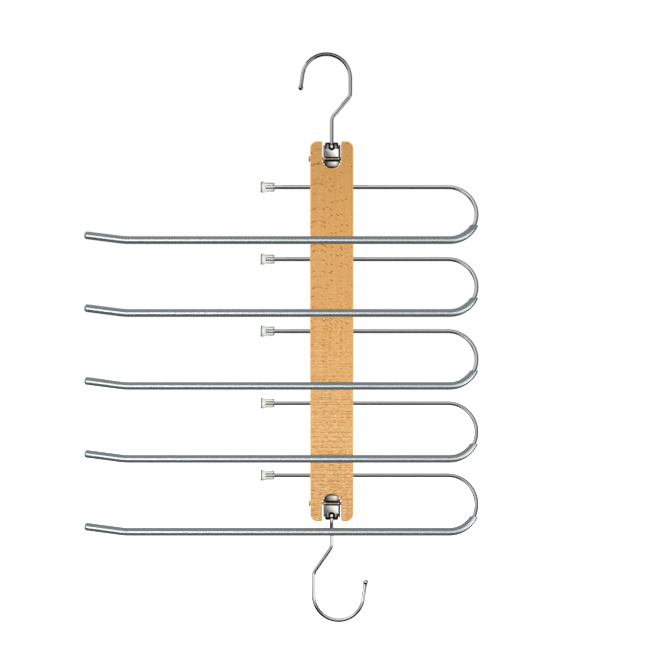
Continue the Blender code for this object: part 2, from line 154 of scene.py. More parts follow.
# Geometry Nodes: skins wire of any thickness along its path; a second spline is the bore of a tube
def makeSkinTree():
    tree = bpy.data.node_groups.new("skin along a path", "GeometryNodeTree")
    sockets = (("Path", "NodeSocketGeometry"), ("Sides", "NodeSocketInt"),
               ("Weld distance", "NodeSocketFloat"), ("Crease angle", "NodeSocketFloat"),
               ("Finish", "NodeSocketMaterial"))
    for name, kind in sockets:
        tree.interface.new_socket(name, in_out="INPUT", socket_type=kind)
    tree.interface.new_socket("Body", in_out="OUTPUT", socket_type="NodeSocketGeometry")
    add = partial(addNode, tree)
    start = add("NodeGroupInput")
    circle = add("GeometryNodeCurvePrimitiveCircle", {"Resolution": start.outputs["Sides"], "Radius": 1.0},
                 mode="RADIUS")
    ringPlace = add("GeometryNodeInputPosition")
    ring = add("GeometryNodeCaptureAttribute", {"Geometry": circle.outputs["Curve"]})
    ring.capture_items.new("VECTOR", "Place")
    plug(ring, {1: ringPlace})
    radius = add("GeometryNodeInputRadius")
    travel = add("GeometryNodeSplineParameter")
    along = add("CombineXYZ", {"X": radius, "Z": travel.outputs["Length"]})
    path = add("GeometryNodeCaptureAttribute", {"Geometry": start.outputs["Path"]})
    path.capture_items.new("VECTOR", "Along")
    plug(path, {1: along})
    number = add("GeometryNodeInputIndex")
    isBore = add("FunctionNodeCompare", [number, 1], data_type="INT", operation="EQUAL")
    parts = add("GeometryNodeSeparateGeometry", {"Geometry": path, "Selection": isBore}, domain="CURVE")
    skins = []
    for side in ("Selection", "Inverted"):
        skins.append(add("GeometryNodeCurveToMesh", {
            "Curve": parts.outputs[side], "Profile Curve": ring, "Scale": radius, "Fill Caps": False}))
    bore = add("GeometryNodeFlipFaces", {"Mesh": skins[0]})
    joined = add("GeometryNodeJoinGeometry", [bore])
    plug(joined, {0: skins[1]})
    # the wrap attribute: across the wire in x and y, along it in z, in metres, with no seam
    apart = add("SeparateXYZ", [path.outputs[1]])
    across = add("VectorMath", [ring.outputs[1], apart.outputs["X"]], "SCALE")
    lift = add("CombineXYZ", {"Z": apart.outputs["Z"]})
    wrap = add("VectorMath", [across, lift], "ADD")
    stored = add("GeometryNodeStoreNamedAttribute", {"Geometry": joined, "Name": "wrap", "Value": wrap},
                 data_type="FLOAT_VECTOR", domain="POINT")
    welded = add("GeometryNodeMergeByDistance", {
        "Geometry": stored, "Distance": start.outputs["Weld distance"]})
    smooth = add("GeometryNodeSetShadeSmooth", {"Geometry": welded, "Shade Smooth": True}, domain="FACE")
    bend = add("GeometryNodeInputMeshEdgeAngle")
    isCrease = add("FunctionNodeCompare", [bend, start.outputs["Crease angle"]], data_type="FLOAT",
                   operation="GREATER_THAN")
    creased = add("GeometryNodeSetShadeSmooth", {
        "Geometry": smooth, "Selection": isCrease, "Shade Smooth": False}, domain="EDGE")
    real = add("GeometryNodeRealizeInstances", {"Geometry": creased})
    finish = add("GeometryNodeSetMaterial", {"Geometry": real, "Material": start.outputs["Finish"]})
    add("NodeGroupOutput", {"Body": finish})
    return tree


skinning = {"weld": 0.001 * mm, "crease": radians(38)}
skinTree = makeSkinTree()


def skin(name, splines, place, sides, finish):
    thing = wireCurve(name + "_path", splines, place)
    modifier = thing.modifiers.new("skin", "NODES")
    modifier.node_group = skinTree
    values = {"Sides": sides, "Weld distance": skinning["weld"], "Crease angle": skinning["crease"],
              "Finish": finish}
    for socket in skinTree.interface.items_tree:
        if socket.name in values:
            modifier[socket.identifier] = values[socket.name]
    return oneFinish(plainMesh(thing, name), finish)


def dress(piece, body, node, group=None):  # a group's pieces mirror lights of their own
    if group:
        collection = bpy.data.collections.get(group)
        if not collection:
            collection = bpy.data.collections.new(group)
            scene.collection.children.link(collection)
        collection.objects.link(piece)
    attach(piece, body)
    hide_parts(node)


# stations (x, z, heading) of a wire bent in a plane: a run, then a bend to the left at a radius
def bendWire(x, z, heading, moves):
    stations = [(x, z, heading)]
    for run, bend, radius in moves:
        if run:
            x += run * cos(heading)
            z += run * sin(heading)
            stations.append((x, z, heading))
        if bend:
            side = copysign(radius, bend)
            centreX = x - side * sin(heading)
            centreZ = z + side * cos(heading)
            steps = ceil(abs(bend) / fit["wireStep"])
            for i in range(1, steps + 1):
                h = heading + bend * i / steps
                stations.append((centreX + side * sin(h), centreZ - side * cos(h), h))
            heading += bend
            x, z, heading = stations[-1]
    return stations


def shifted(station, distance):
    x, z, heading = station
    return (x + distance * cos(heading), z + distance * sin(heading), heading)


# knots of a rounded edge between a flat end and a wall, from the end's middle outwards
def roundedEnd(station, radius, fillet, steps=8):
    knots = [(station, 0)]
    for i in range(steps + 1):
        a = pi / 2 * i / steps
        knots.append((shifted(station, hair + fillet * (1 - cos(a))), radius - fillet + fillet * sin(a)))
    return knots


def flatEnd(station, radius, chamfer=0.25 * mm):
    return [(station, 0), (shifted(station, hair), radius - chamfer), (shifted(station, chamfer), radius)]


def ballEnd(centre, radius, neckRadius, steps=14):  # from the pole to where the wire leaves the ball
    neck = acos(neckRadius / radius)
    turn = neck + pi / 2
    angles = [turn * i / steps - pi / 2 for i in range(steps + 1)]
    return [(shifted(centre, radius * sin(a)), radius * cos(a)) for a in angles]


def farEnd(makeEnd, station, *sizes):  # the same end for a wire that arrives instead of leaving
    x, z, heading = station
    knots = makeEnd((x, z, heading + pi), *sizes)
    return [((x, z, h + pi), r) for (x, z, h), r in reversed(knots)]


def evenly(stations, radius):  # the knots between a wire's ends
    return [(station, radius) for station in stations[1:-1]]


# bright chrome over drawn steel wire: a clean mirror, a little cloudy in places, on a faintly wavy wire
chromeFinish = {
    "colour": "#D4D5D2",
    "roughness": (0.02, 0.06),
    "cloud": 5 * mm,
    "cloudy": (0.35, 0.75),  # the noise from which and to which it clouds over
    "waveLength": 11 * mm,
    "waveHeight": 0.012 * mm,
}


def makeChrome():
    look = chromeFinish
    material, add, shader = newMaterial("bright chrome on drawn wire", {
        "Base Color": srgb(look["colour"]), "Metallic": 1.0})
    wrap = add("Attribute", attribute_name="wrap")
    clouds = add("TexNoise", {"Vector": wrap.outputs["Vector"], "Scale": 1 / look["cloud"], "Detail": 3.0})
    rough = add("MapRange", [clouds, *look["cloudy"], *look["roughness"]])
    waves = add("TexNoise", {
        "Vector": wrap.outputs["Vector"], "Scale": 1 / look["waveLength"], "Detail": 1.0})
    bump = add("Bump", {"Strength": 1.0, "Distance": look["waveHeight"], "Height": waves})
    plug(shader, {"Roughness": rough, "Normal": bump})
    return material


# nickel plated sheet steel, pressed and tumbled: a slightly dished mirror with faint rolling lines and a
# dull inside, whose colour paints its reflections and shade: a painted reflection that brightens towards
# the pin and the right, a painted dark reflection over the arch with paler painted stripes, painted shade
# on the tail with one painted highlight, painted shade inside with painted light beside the ears, and
# sheared edges painted lit on the left ear and shaded on the right
sheetFinish = {
    # painted reflection: the plate runs from the dim colour to the bright one as the light would fall
    "paintedBrightColour": "#F1F0EC",  # towards the pin and the right
    "paintedDimColour": "#6F726E",
    "lean": 1.32,  # how much more the painted reflection brightens sideways than up
    "brightening": (-1 * mm, 11 * mm),
    "faceHeight": 11 * mm,
    "tailShadeColour": "#35342F",  # painted shade, where the tail turns away from the light
    "tailBright": 3.6 * mm,  # where the tail's painted highlight is brightest, to the right of the middle
    "tailLeft": (-9 * mm, 0.0),  # how it brightens up to there from the left
    "tailRight": (0.5 * mm, 4 * mm),  # and darkens past it
    "tailUp": (1.5 * mm, 7 * mm, 0.12, 1.0),
    # painted shade inside the bracket, and painted light on the inside beside the ears
    "insideShadeColour": "#4C4A46",
    "gapLightColour": "#B9BCBB",  # painted light on the inside beside the ears
    "gap": (6.2 * mm, 6.6 * mm),
    "earEdgeLitAndShadedColours": ("#CDD0CE", "#474C52"),  # the left ear's edge, painted lit, and the right one's, painted shaded
    # a painted dark reflection over the arch, with a paler painted reflection stripe on either side of its
    # slot
    "archReflectionColour": "#35342F",
    "archStripeReflectionColour": "#9A9890",
    "roughness": (0.12, 0.24),
    "dullRoughness": 0.45,
    "lineWidth": 0.3 * mm,  # drawn some five times as coarse as the real ones
    "lineLength": 6 * mm,
    "dish": 8 * mm,
    "dishDepth": 0.1 * mm,
    "archStart": (8.9 * mm, 9.7 * mm),  # above the pin
    "archStripePlace": 4 * mm,  # to the side of the middle
    "archStripeWidth": (0.3 * mm, 1.1 * mm),
    "insideDepth": (-3.3 * mm, -2.7 * mm),
    "forward": (-0.2, -0.5),  # how far a face has to turn to the front
    "edgePlace": (7.05 * mm, 7.15 * mm),
    "rightHalf": (-1 * mm, 1 * mm),  # where the left ear's painted light gives way to the right one's painted shade
    "tailStart": (-3.4 * mm, -3.2 * mm),
}


def makePressedSteel():
    look = sheetFinish
    material, add, shader = newMaterial("nickel plated pressed sheet", {"Metallic": 1.0})
    place = add("TexCoord")
    lines = drawnLines(add, place.outputs["Object"], look["lineWidth"], look["lineLength"])
    dishes = add("TexNoise", {"Vector": place.outputs["Object"], "Scale": 1 / look["dish"], "Detail": 1.0})
    spot = add("SeparateXYZ", [place.outputs["Object"]])
    facing = add("SeparateXYZ", [place.outputs["Normal"]])
    fromMiddle = add("Math", [spot.outputs["Z"], spineCentreZ], "SUBTRACT")
    height = add("Math", [fromMiddle], "ABSOLUTE")
    rise = add("Math", [height, fit["topPinZ"] - spineCentreZ], "SUBTRACT")
    sideways = add("Math", [spot.outputs["X"], fit["spineX"]], "SUBTRACT")
    aside = add("Math", [sideways], "ABSOLUTE")

    # the arch: a painted dark reflection, with a paler painted reflection stripe on either side of its
    # slot
    fromArchStripe = add("Math", [aside, look["archStripePlace"]], "SUBTRACT")
    archStripeDistance = add("Math", [fromArchStripe], "ABSOLUTE")
    archStripe = add("MapRange", [archStripeDistance, *look["archStripeWidth"], 1.0, 0.0])
    archPaintedReflection = add("Mix", [archStripe, srgb(look["archReflectionColour"]), srgb(look["archStripeReflectionColour"])], "RGBA")
    onArch = add("MapRange", [rise, *look["archStart"]])
    # painted shade on the inside with painted light beside the ears, and the ears' cut edges painted lit
    # on the left and shaded on the right
    inward = add("MapRange", [spot.outputs["Y"], *look["insideDepth"]])
    forward = add("MapRange", [facing.outputs["Y"], *look["forward"]])
    inside = add("Math", [inward, forward], "MULTIPLY")
    far = add("MapRange", [aside, *look["edgePlace"]])
    aboveTail = add("MapRange", [rise, *look["tailStart"]])
    edges = add("Math", [far, forward], "MULTIPLY")
    sheared = add("Math", [edges, aboveTail], "MULTIPLY")
    # the ears' cut edges: painted light on the left one, painted shade on the right
    toRight = add("MapRange", [sideways, *look["rightHalf"]])
    litLeftEdge, shadedRightEdge = look["earEdgeLitAndShadedColours"]
    earEdgePaintedTone = add("Mix", [toRight, srgb(litLeftEdge), srgb(shadedRightEdge)], "RGBA")
    nearEar = add("MapRange", [aside, *look["gap"]])
    insidePaintedShadeAndLight = add("Mix", [nearEar, srgb(look["insideShadeColour"]), srgb(look["gapLightColour"])], "RGBA")
    # how far up its own face a place is, in either bracket
    side = add("Math", [fromMiddle], "SIGN")
    overPin = add("Math", [rise, side], "MULTIPLY")
    under = add("Math", [overPin, 0.0], "LESS_THAN")
    up = add("Math", [under, look["faceHeight"], overPin], "MULTIPLY_ADD")
    # painted reflection: brighter to the right and towards the pin, from the dim colour to the bright one
    lit = add("Math", [sideways, look["lean"], up], "MULTIPLY_ADD")
    brightness = add("MapRange", [lit, *look["brightening"]])
    # painted shade over the tail, but for one painted highlight patch
    fromBright = add("Math", [sideways, look["tailBright"]], "SUBTRACT")
    leftShine = add("MapRange", [fromBright, *look["tailLeft"]])
    rightShine = add("MapRange", [fromBright, *look["tailRight"], 1.0, 0.0])
    acrossShine = add("Math", [leftShine, rightShine], "MULTIPLY")
    upShine = add("MapRange", [up, *look["tailUp"]])
    tailShine = add("Math", [acrossShine, upShine], "MULTIPLY")
    tailPaintedTone = add("Mix", [tailShine, srgb(look["tailShadeColour"]), srgb(look["paintedBrightColour"])], "RGBA")
    colour = add("Mix", [brightness, srgb(look["paintedDimColour"]), srgb(look["paintedBrightColour"])], "RGBA")
    colour = add("Mix", [aboveTail, tailPaintedTone, colour], "RGBA")
    for mask, tone in ((onArch, archPaintedReflection), (inside, insidePaintedShadeAndLight), (sheared, earEdgePaintedTone)):
        colour = add("Mix", [mask, colour, tone], "RGBA")

    rough = add("MapRange", [lines, *noiseSpan, *look["roughness"]])
    dull = add("Math", [inside, sheared], "MAXIMUM")
    roughAll = add("Mix", [dull, rough, look["dullRoughness"]], "FLOAT")
    bump = add("Bump", {"Strength": 1.0, "Distance": look["dishDepth"], "Height": dishes})
    plug(shader, {"Base Color": colour, "Roughness": roughAll, "Normal": bump})
    return material


# plain drawn steel rod with a brownish passivation, for the hinge pins: dull and slightly streaked round,
# with a painted highlight inside the ears that turn on it
pinFinish = {
    "colour": "#D6CAA8",
    "streakColour": "#A89C7C",
    "pinHighlightColour": "#FCFCF8",
    "pinHighlight": (6.2 * mm, 7.6 * mm),  # the painted highlight, from the middle
    "roughness": 0.28,
    "streak": 0.6 * mm,
    "streakRound": 1 / 60,  # metres, so that it runs right round the pin
}


def makePinSteel():
    look = pinFinish
    material, add, shader = newMaterial("brown passivated pin steel", {
        "Metallic": 1.0, "Roughness": look["roughness"]})
    wrap = add("Attribute", attribute_name="wrap")
    streaks = drawnLines(add, wrap.outputs["Vector"], look["streakRound"], look["streak"])
    colour = add("Mix", [streaks, srgb(look["colour"]), srgb(look["streakColour"])], "RGBA")
    place = add("TexCoord")
    spot = add("SeparateXYZ", [place.outputs["Object"]])
    sideways = add("Math", [spot, fit["spineX"]], "SUBTRACT")
    aside = add("Math", [sideways], "ABSOLUTE")
    # a near white painted highlight where the ears are
    start, end = look["pinHighlight"]
    pinHighlight = add("Math", [aside, (start + end) / 2, (end - start) / 2], "COMPARE")
    colour = add("Mix", [pinHighlight, colour, srgb(look["pinHighlightColour"])], "RGBA")
    plug(shader, {"Base Color": colour})
    return material


# extruded soft PVC tube, slate grey: smooth and glossy, with faint die lines along it and dull scuffs
slateFinish = {
    "colour": "#5F6A6D",
    "lineColour": "#576164",
    "roughness": (0.23, 0.28),
    "dieLineWidth": 0.6 * mm,  # the real ones are under 0.1 mm
    "dieLineLength": 70 * mm,
    "scuffWidth": 3 * mm,
    "scuffLength": 14 * mm,
    "scuffed": (0.4, 0.75),
}


def makeSlate():
    look = slateFinish
    material, add, shader = newMaterial("slate grey extruded PVC", {
        "IOR": 1.53, "Specular IOR Level": 1.0})
    wrap = add("Attribute", attribute_name="wrap")
    lines = drawnLines(add, wrap.outputs["Vector"], look["dieLineWidth"], look["dieLineLength"])
    colour = add("Mix", [lines, srgb(look["colour"]), srgb(look["lineColour"])], "RGBA")
    scuffs = drawnLines(add, wrap.outputs["Vector"], look["scuffWidth"], look["scuffLength"], 1.0)
    rough = add("MapRange", [scuffs, *look["scuffed"], *look["roughness"]])
    plug(shader, {"Base Color": colour, "Roughness": rough})
    return material


# clear soft PVC, dip moulded: see-through with a faint green-grey tint and a slightly uneven skin
clearFinish = {
    "colour": "#F8FBF6",
    "roughness": 0.06,
    "ior": 1.5,
    "ripple": 1.6 * mm,
    "rippleStrength": 0.4,
    "rippleHeight": 0.01 * mm,
}


def makeClear():
    look = clearFinish
    material, add, shader = newMaterial("clear moulded PVC", {
        "Base Color": srgb(look["colour"]), "Roughness": look["roughness"], "IOR": look["ior"],
        "Transmission Weight": 1.0})
    place = add("TexCoord")
    ripples = add("TexNoise", {
        "Vector": place.outputs["Object"], "Scale": 1 / look["ripple"], "Detail": 2.0})
    bump = add("Bump", {"Strength": look["rippleStrength"], "Distance": look["rippleHeight"],
                        "Height": ripples})
    plug(shader, {"Normal": bump})
    return material


# lacquered European beech, flat sawn: pale orange brown with short dark ray flecks that run along
# nested arches on the left, a few slanting dashes on the right, and pores too small to tell apart
beechLook = {
    # the wood's tone down the spine, with painted shade darkening it towards the top
    "tones": ((0.0, "#C08E4C"), (0.2, "#D39C56"), (0.5, "#DDA761"), (0.8, "#E4B371"), (1.0, "#DAA764")),
    "toneTop": -87 * mm,
    "toneBottom": -468 * mm,
    "stainColour": "#C48344",  # what the dark marks multiply the wood by
    "paleColour": "#F6D7A2",
    # painted highlight on the rounded edges
    "edgeHighlightColour": "#FFB865",
    "endGrainColour": "#B9854C",
    # from here in millimetres; across the grain counts x + depthTurn * y
    "depthTurn": 0.7,
    "warpSize": 16,
    "warpReach": (2.4, 2.4, 1.3),
    "archCentre": -14.45,
    "archHalfWidth": 6.6,
    "archRoundness": 4.3,
    "archEdge": 1.5,
    "archRise": (-360.0, -280.0, 0.3, 2.6),  # between these two heights, from the first to the second
    "archMiddle": (-112.0, -135.0, 1.0, 0.25),  # only beside the slot are the arches dark in the middle
    "archFlanks": (1.5, 4.5),
    "archLines": (6.2, 0.55, 2.6),  # spacing, thickness, length of a dash
    "levelLines": (2.5, 0.34, 3.6),
    "lineEdge": (0.8, 1.8),  # in thicknesses
    "dashed": (0.42, 0.54, 0.15, 1.0),
    "lineStrength": (0.1, 0.7, 0.25, 1.0),
    "lineScatter": 0.95,
    "crossFigure": (-200.0, -390.0, 0.0, 1.0),  # comes in between these two heights
    "levelShare": 0.7,
    # how crowded the flecks are from the left edge to the right
    "crowding": ((-16.2, 0.7), (-13, 1.0), (-9.5, 0.4), (-5.5, 0.45), (-2, 1.0), (2, 0.35), (7, 0.6),
                 (10.5, 0.75), (13.5, 0.45), (18.5, 0.4), (22.5, 0.75), (27, 0.9)),
    "flecks": (((5.0, 4.2), (2.0, 0.68)), ((2.7, 2.2), (1.0, 0.34))),  # cells, and half of their flecks
    "fleckEdge": (0.7, 1.1, 2.0),  # in half sizes: the dash fades, its halo fades
    "fleckChance": (1.05, 1.4),
    "fleckScatter": 0.9,
    "flecksKept": 0.35,  # of their strength, between the lines
    # width, length and detail of the streaks, the silk of fibres and the bars of the cross figure
    "strewn": ((1.6, 90, 3.0), (0.7, 5.0, 2.0), (4.6, 1.2, 1.0)),
    "streakShade": (0.93, 1.06),
    "silkShade": (0.95, 1.04),
    "darkBars": (0.52, 0.68),
    "paleBars": (0.48, 0.34),
    # how much of the pale bars, two sizes of halo, dark bars, small flecks and dark marks shows
    "shares": (0.5, 0.2, 0.1, 0.2, 0.25, 1.0),
    "rim": (0.02, 0.16, 0.0, 0.85),  # how the painted edge highlight comes in as a face turns
    "pore": 0.5,
    "poreDark": (0.15, 0.5, 1.0, 0.4),
    "ends": (0.6, 0.95, 0.0, 0.75),  # and the end grain's, as it turns up or down
    "dents": -0.6,  # how deep the dark marks sink, against the silk
    "dentDepth": 0.03,
    "dentStrength": 0.35,
    "roughness": (0.4, 0.52),
}


def makeBeech():
    look = beechLook
    material, add, shader = newMaterial("lacquered flat sawn beech", {
        "Coat Weight": 0.05, "Coat Roughness": 0.3, "IOR": 1.45, "Specular IOR Level": 0.3})
    place = add("TexCoord")
    inMm = add("VectorMath", [place.outputs["Object"], 1 / mm], "SCALE")
    warp = add("TexNoise", {"Vector": inMm, "Scale": 1 / look["warpSize"], "Detail": 2.0})
    warpShift = add("VectorMath", [warp.outputs["Color"], (0.5, 0.5, 0.5)], "SUBTRACT")
    warped = add("VectorMath", [warpShift, look["warpReach"], inMm], "MULTIPLY_ADD")
    x, y, z = add("SeparateXYZ", [warped]).outputs
    across = add("Math", [y, look["depthTurn"], x], "MULTIPLY_ADD")
    fromArch = add("Math", [across, look["archCentre"]], "SUBTRACT")
    archTurn = add("Math", [fromArch, look["archRoundness"]], "DIVIDE")
    squared = add("Math", [archTurn, archTurn, 1.0], "MULTIPLY_ADD")
    rooted = add("Math", [squared], "SQRT")
    rise = add("MapRange", [z, *look["archRise"]])
    along = add("Math", [rooted, rise, z], "MULTIPLY_ADD")
    grain = add("CombineXYZ", [across, along])

    # ray flecks: one dash with a pale rim in each cell of a scattered net, some strong, some missing
    flecks, halos = [], []
    first, last = look["crowding"][0][0], look["crowding"][-1][0]
    solid, edge, faded = look["fleckEdge"]
    for (cellWidth, cellHeight), (halfLength, halfHeight) in look["flecks"]:
        cells = add("VectorMath", [grain, (1 / cellWidth, 1 / cellHeight, 1.0)], "MULTIPLY")
        net = add("TexVoronoi", {"Vector": cells, "Scale": 1.0, "Randomness": look["fleckScatter"]}, "2D")
        off = add("VectorMath", [cells, net.outputs["Position"]], "SUBTRACT")
        sized = add("VectorMath", [off, (cellWidth / halfLength, cellHeight / halfHeight, 0.0)],
                    "MULTIPLY")
        far = add("VectorMath", [sized], "LENGTH")
        dash = add("MapRange", [far, solid, edge, 1.0, 0.0], "SMOOTHSTEP")
        halo = add("MapRange", [far, edge, faded, 1.0, 0.0], "SMOOTHSTEP")
        centre = add("SeparateXYZ", [net.outputs["Position"]])
        stripe = add("MapRange", [centre, first / cellWidth, last / cellWidth])
        crowd = add("ValToRGB", [stripe])
        setStops(crowd.color_ramp, [((place - first) / (last - first), (share, share, share, 1))
                                    for place, share in look["crowding"]])
        chance = add("SeparateColor", [net.outputs["Color"]])
        pick = add("Math", [chance, crowd], "ADD")
        strength = add("MapRange", [pick, *look["fleckChance"]])
        flecks.append(add("Math", [dash, strength], "MULTIPLY"))
        halos.append(add("Math", [halo, strength], "MULTIPLY"))

    fromMiddle = add("Math", [fromArch], "ABSOLUTE")
    half = look["archHalfWidth"]
    leftBand = add("MapRange", [fromMiddle, half, half + look["archEdge"], 1.0, 0.0])
    middleShare = add("MapRange", [z, *look["archMiddle"]])
    flanks = add("MapRange", [fromMiddle, *look["archFlanks"], middleShare, 1.0])
    # the lower half turns to a silvery cross figure: level lines and short pale and dark bars
    crossFigure = add("MapRange", [z, *look["crossFigure"]])
    levelShare = add("Math", [crossFigure, look["levelShare"]], "MULTIPLY")

    # thin lines one above another, darkest in a few dashes on each: the arches of the left band, and the
    # level lines of the lower half
    dark = flecks[0]
    for (spacing, thick, dashLength), height, masks in (
            (look["archLines"], along, (flanks, leftBand)), (look["levelLines"], z, (levelShare,))):
        turn = add("Math", [height, spacing], "DIVIDE")
        rungs = add("TexVoronoi", {"W": turn, "Scale": 1.0, "Randomness": look["lineScatter"]}, "1D")
        edges = [thick * share / spacing for share in look["lineEdge"]]
        lines = add("MapRange", [rungs.outputs["Distance"], *edges, 1.0, 0.0], "SMOOTHSTEP")
        chance = add("SeparateColor", [rungs.outputs["Color"]])
        dashPlace = add("CombineXYZ", [across, rungs.outputs["W"]])
        # 31 sets each line's dashes far from those of the next
        dashScale = add("VectorMath", [dashPlace, (1 / dashLength, 31.0, 0.0)], "MULTIPLY")
        dashNoise = add("TexNoise", {"Vector": dashScale, "Scale": 1.0, "Detail": 1.0}, "2D")
        dashes = add("MapRange", [dashNoise, *look["dashed"]])
        strength = add("MapRange", [chance, *look["lineStrength"]])
        for factor in (dashes, strength, *masks):
            lines = add("Math", [lines, factor], "MULTIPLY")
        keep = add("MapRange", [masks[-1], 0.0, 1.0, 1.0, look["flecksKept"]])
        dark = add("Math", [dark, keep], "MULTIPLY")
        dark = add("Math", [dark, lines], "MAXIMUM")

    # what the grain strews: long soft streaks, a fine silk of fibres, and the bars of the cross figure
    strewn = []
    fibres = add("CombineXYZ", [across, z])
    for wide, long, detail in look["strewn"]:
        cells = add("VectorMath", [fibres, (1 / wide, 1 / long, 0.0)], "MULTIPLY")
        strewn.append(add("TexNoise", {"Vector": cells, "Scale": 1.0, "Detail": detail}, "2D"))
    streaks, silk, bars = strewn
    streakShade = add("MapRange", [streaks, *noiseSpan, *look["streakShade"]])
    silkShade = add("MapRange", [silk, *noiseSpan, *look["silkShade"]])
    shade = add("Math", [streakShade, silkShade], "MULTIPLY")
    darkBars = add("MapRange", [bars, *look["darkBars"], 0.0, crossFigure])
    paleBars = add("MapRange", [bars, *look["paleBars"], 0.0, crossFigure])

    # painted shade: the tone ramp darkens the wood towards the top
    height = add("SeparateXYZ", [place.outputs["Object"]])
    down = add("MapRange", [height.outputs["Z"], look["toneTop"], look["toneBottom"]])
    tone = add("ValToRGB", [down])
    setStops(tone.color_ramp, [(share, srgb(code)) for share, code in look["tones"]])
    colour = add("VectorMath", [tone, shade], "SCALE")
    pale, stain = look["paleColour"], look["stainColour"]
    marks = ((paleBars, pale, "MIX"), (halos[0], pale, "MIX"), (halos[1], pale, "MIX"),
             (darkBars, stain, "MULTIPLY"), (flecks[1], stain, "MULTIPLY"), (dark, stain, "MULTIPLY"))
    for (mask, code, blend), share in zip(marks, look["shares"]):
        amount = add("Math", [mask, share], "MULTIPLY")
        colour = add("Mix", [amount, colour, srgb(code)], "RGBA", blend_type=blend)

    # the rounded edges get a lighter, warmer orange painted highlight, and the ends show darker end grain
    normal = add("SeparateXYZ", [place.outputs["Normal"]])
    facing = add("Math", [normal.outputs["Y"]], "ABSOLUTE")
    notFacing = add("Math", [1.0, facing], "SUBTRACT")
    turned = add("Math", [facing, notFacing], "MULTIPLY")
    paintedEdgeHighlight = add("MapRange", [turned, *look["rim"]])
    upDown = add("Math", [normal.outputs["Z"]], "ABSOLUTE")
    poreCells = add("TexVoronoi", {"Vector": inMm, "Scale": 1 / look["pore"]})
    pores = add("MapRange", [poreCells, *look["poreDark"]])
    ends = add("MapRange", [upDown, *look["ends"]])
    endGrain = add("Math", [ends, pores], "MULTIPLY")
    for mask, code in ((paintedEdgeHighlight, look["edgeHighlightColour"]), (endGrain, look["endGrainColour"])):
        colour = add("Mix", [mask, colour, srgb(code)], "RGBA")

    rough = add("MapRange", [silk, *noiseSpan, *look["roughness"]])
    dents = add("Math", [dark, look["dents"], silk], "MULTIPLY_ADD")
    bump = add("Bump", {"Strength": look["dentStrength"], "Distance": look["dentDepth"] * mm,
                        "Height": dents})
    plug(shader, {"Base Color": colour, "Roughness": rough, "Normal": bump})
    return material


chrome, pressedSteel, pinSteel = makeChrome(), makePressedSteel(), makePinSteel()
slate, clear, beech = makeSlate(), makeClear(), makeBeech()
print("hanger: six finishes made")


def arc(u, v, radius, start, end, sides):  # points on an arc with so many sides, both ends included
    angles = [start + (end - start) * i / sides for i in range(sides + 1)]
    return [(u + radius * cos(a), v + radius * sin(a)) for a in angles]


def mirrored(points):  # the left half that goes on from a right one
    return [(-u, v) for u, v in reversed(points)]


def prism(name, outline, axis, low, high):  # fills an outline and draws it out along an axis
    place = {"X": lambda u, v, w: (w, u, v), "Y": lambda u, v, w: (u, w, v),
             "Z": lambda u, v, w: (u, v, w)}[axis]
    form = bmesh.new()
    face = form.faces.new([form.verts.new(place(u, v, low)) for u, v in outline])
    drawn = bmesh.ops.extrude_face_region(form, geom=[face])["geom"]
    moved = [item for item in drawn if isinstance(item, bmesh.types.BMVert)]
    bmesh.ops.translate(form, verts=moved, vec=place(0, 0, high - low))
    bmesh.ops.recalc_face_normals(form, faces=form.faces)
    mesh = bpy.data.meshes.new(name)
    form.to_mesh(mesh)
    form.free()
    return newObject(name, mesh)


def combine(thing, tool, operation):
    modifier = thing.modifiers.new(tool.name, "BOOLEAN")
    modifier.operation, modifier.object, modifier.solver = operation, tool, "EXACT"


def roundEdges(thing, width, segments, angle):
    bevel = thing.modifiers.new("rounded", "BEVEL")
    bevel.width, bevel.segments, bevel.limit_method, bevel.angle_limit = width, segments, "ANGLE", angle


# keeps flat faces flat to the light and returns the plain mesh, without the tools that cut it
def finishedPiece(thing, name, tools, finish):
    weighted = thing.modifiers.new("flat faces", "WEIGHTED_NORMAL")
    weighted.keep_sharp = True
    for part in (thing, *tools):
        part.data.shade_smooth()
    piece = plainMesh(thing, name)
    for tool in tools:
        bpy.data.objects.remove(tool, do_unlink=True)
    return oneFinish(piece, finish)


# the beech spine, its two slots and the bores through it
spine = {
    "length": 380.5 * mm,
    "width": 43.1 * mm,
    "thickness": 18 * mm,
    "cornerRadius": 7 * mm,
    "edgeRound": 1.2 * mm,
    "edgeSteps": 5,
    "edgeAngle": radians(60),
    "slotWidth": 18.8 * mm,
    "slotDepth": 27.4 * mm,
    "mouthRadius": 1.6 * mm,
    "armCount": 5,
    "armMargin": 45 * mm,
    "rodBore": 4.6 * mm,
    "pinBore": 3.6 * mm,
    "boreChamfer": 0.35 * mm,
    "boreSides": 40,
    "boreOver": 2 * mm,  # how far the cutting tools reach past it
}
armPitch = (spine["length"] - 2 * spine["armMargin"]) / (spine["armCount"] - 1)
armHeights = [spineCentreZ + spine["length"] / 2 - spine["armMargin"] - armPitch * i
              for i in range(spine["armCount"])]


def spineOutline():
    half, slot, corner = spine["width"] / 2, spine["slotWidth"] / 2, spine["cornerRadius"]
    top, lip = spine["length"] / 2, spine["mouthRadius"]
    right = arc(half - corner, top - corner, corner, 0, pi / 2, 12)
    right += arc(slot + lip, top - lip, lip, pi / 2, pi, 6)
    oneEnd = right + arc(0, top - spine["slotDepth"] + slot, slot, 0, -pi, 36) + mirrored(right)
    return oneEnd + [(-x, -z) for x, z in oneEnd]


